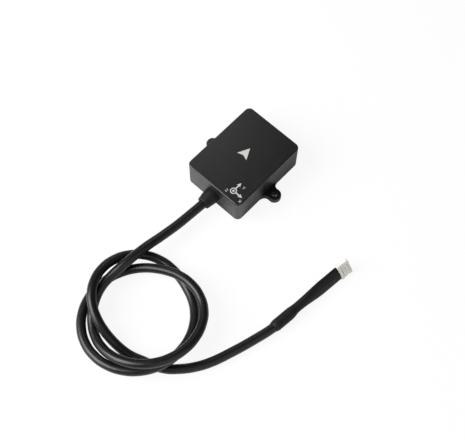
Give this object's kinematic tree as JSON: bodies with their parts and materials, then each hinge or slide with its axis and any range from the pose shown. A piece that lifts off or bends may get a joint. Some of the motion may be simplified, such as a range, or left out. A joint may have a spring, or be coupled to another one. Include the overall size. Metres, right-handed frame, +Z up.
{
  "type": "inertial sensor module",
  "caption": "Small rectangular black sensor case with screw ears on its long sides, a rubber cable boot, a loosely coiled signal cable and a white crimp plug at its end.",
  "frame": {"origin": "bottom centre of the case and its two ears, on the surface that it stands on or is screwed to", "axes": "+X across the case through both ear holes, +Y forward along the case and away from the cable, +Z up through the lid"},
  "size_m": [0.1018, 0.1459, 0.017],
  "materials": {
    "black_abs": "fine moulded texture, satin",
    "black_rubber": "matte moulded rubber",
    "black_pvc": "satin extruded jacket",
    "shrink_black": "shrunk polyolefin, satin",
    "white_nylon": "natural nylon",
    "silicone": "matte",
    "brass": "turned",
    "steel": "zinc plated",
    "tin": "tinned",
    "green_board": "solder resist",
    "chip_black": "moulded epoxy",
    "ceramic_tan": "fired ceramic",
    "tantalum_yellow": "moulded epoxy",
    "red_wire": "wire insulation",
    "black_wire": "wire insulation",
    "green_wire": "wire insulation",
    "white_wire": "wire insulation"
  },
  "bodies": {
    "root": {"housing": "black_abs", "bottom_cover": "black_abs", "cover_seal": "silicone", "cover_screw_1": "steel", "cover_screw_2": "steel", "cover_screw_3": "steel", "cover_screw_4": "steel", "threaded_insert_1": "brass", "threaded_insert_2": "brass", "threaded_insert_3": "brass", "threaded_insert_4": "brass", "main_board": "green_board", "board_screw_1": "steel", "board_screw_2": "steel", "board_screw_3": "steel", "board_screw_4": "steel", "processor_chip": "chip_black", "inertial_chip": "chip_black", "compass_chip": "chip_black", "crystal": "tin", "serial_transceiver": "chip_black", "voltage_regulator": "chip_black", "tantalum_capacitor_1": "tantalum_yellow", "tantalum_capacitor_2": "tantalum_yellow", "chip_capacitor_1": "ceramic_tan", "chip_capacitor_2": "ceramic_tan", "chip_capacitor_3": "ceramic_tan", "chip_capacitor_4": "ceramic_tan", "chip_resistor_1": "chip_black", "chip_resistor_2": "chip_black", "board_header": "white_nylon", "header_pin_1": "tin", "header_pin_2": "tin", "header_pin_3": "tin", "header_pin_4": "tin", "inner_plug": "white_nylon", "red_wire": "red_wire", "black_wire": "black_wire", "green_wire": "green_wire", "white_wire": "white_wire", "cable_boot": "black_rubber", "cable_tie": "black_pvc", "cable_lead": "black_pvc", "cable_coil": "black_pvc", "cable_tail": "black_pvc", "heat_shrink_sleeve": "shrink_black", "plug_wire_1": "black_wire", "plug_wire_2": "black_wire", "plug_wire_3": "black_wire", "plug_wire_4": "black_wire", "connector_housing": "white_nylon", "connector_terminal_1": "tin", "connector_terminal_2": "tin", "connector_terminal_3": "tin", "connector_terminal_4": "tin"}
  },
  "joints": []
}
